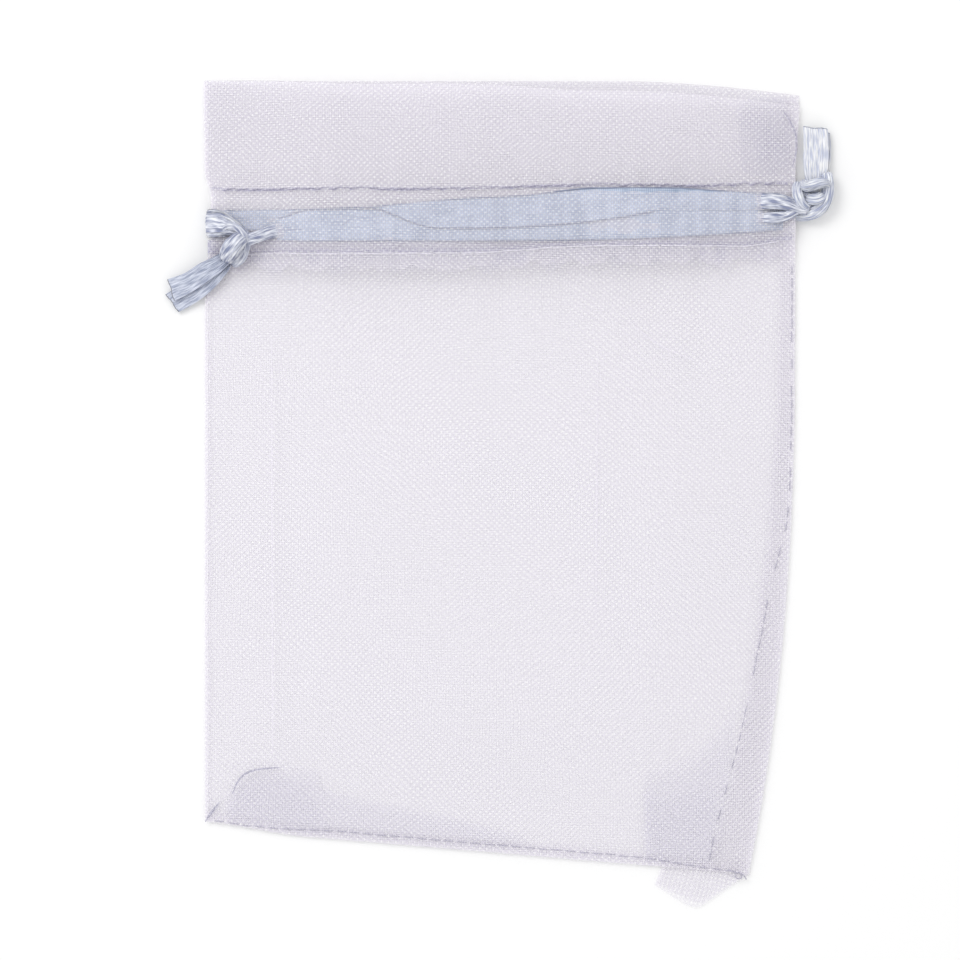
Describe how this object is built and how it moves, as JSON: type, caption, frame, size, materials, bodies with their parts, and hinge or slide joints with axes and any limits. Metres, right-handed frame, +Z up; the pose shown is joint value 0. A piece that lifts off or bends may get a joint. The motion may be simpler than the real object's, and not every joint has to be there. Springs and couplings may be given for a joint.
{
  "type": "drawstring gift pouch",
  "caption": "Flat sheer organza pouch with a stitched casing below its open mouth and two knotted satin ribbon drawstrings that pull out at either side.",
  "frame": {"origin": "on the resting face under the back panel, in the middle of the pouch", "axes": "+X to the pouch's right, +Y from the bottom seam to the mouth, +Z up out of the front panel as the pouch lies on its back"},
  "size_m": [0.1049, 0.1281, 0.0083],
  "materials": {
    "organza": "sheer pale lavender-white nylon organza, open plain weave with a soft sparkle",
    "satin_ribbon": "soft blue-grey satin, lengthwise sheen",
    "thread": "fine matte sewing thread"
  },
  "bodies": {
    "pouch": {"back_panel": "organza", "front_panel": "organza", "front_casing_upper_thread": "thread", "front_casing_lower_thread": "thread", "back_casing_upper_thread": "thread", "back_casing_lower_thread": "thread", "bottom_seam_thread": "thread", "left_side_seam_thread": "thread", "right_side_seam_thread": "thread", "left_ribbon": "satin_ribbon", "right_ribbon": "satin_ribbon"},
    "left_drawstring": {"left_knot": "satin_ribbon", "left_tail_upper": "satin_ribbon", "left_tail_lower": "satin_ribbon"},
    "right_drawstring": {"right_knot": "satin_ribbon", "right_tail_upper": "satin_ribbon", "right_tail_lower": "satin_ribbon"},
    "left_neck": {"left_header_seam_thread": "thread"},
    "right_neck": {"right_header_seam_thread": "thread"}
  },
  "joints": [
    {"name": "left_pull", "type": "slide", "parent": "pouch", "child": "left_drawstring", "axis": [-1, 0, 0], "range_m": [0, 0.03], "deforming": ["left_ribbon"]},
    {"name": "right_pull", "type": "slide", "parent": "pouch", "child": "right_drawstring", "axis": [1, 0, 0], "range_m": [0, 0.03], "deforming": ["right_ribbon"]},
    {"name": "left_gather", "type": "slide", "parent": "pouch", "child": "left_neck", "axis": [1, 0, 0], "range_m": [0, 0.03], "deforming": ["back_panel", "front_panel", "front_casing_upper_thread", "front_casing_lower_thread", "back_casing_upper_thread", "back_casing_lower_thread", "left_side_seam_thread"]},
    {"name": "right_gather", "type": "slide", "parent": "pouch", "child": "right_neck", "axis": [-1, 0, 0], "range_m": [0, 0.03], "deforming": ["right_side_seam_thread"]}
  ],
  "couplings": [
    {"joint": "left_gather", "follows": "left_pull", "ratio": 1},
    {"joint": "right_gather", "follows": "right_pull", "ratio": 1}
  ]
}
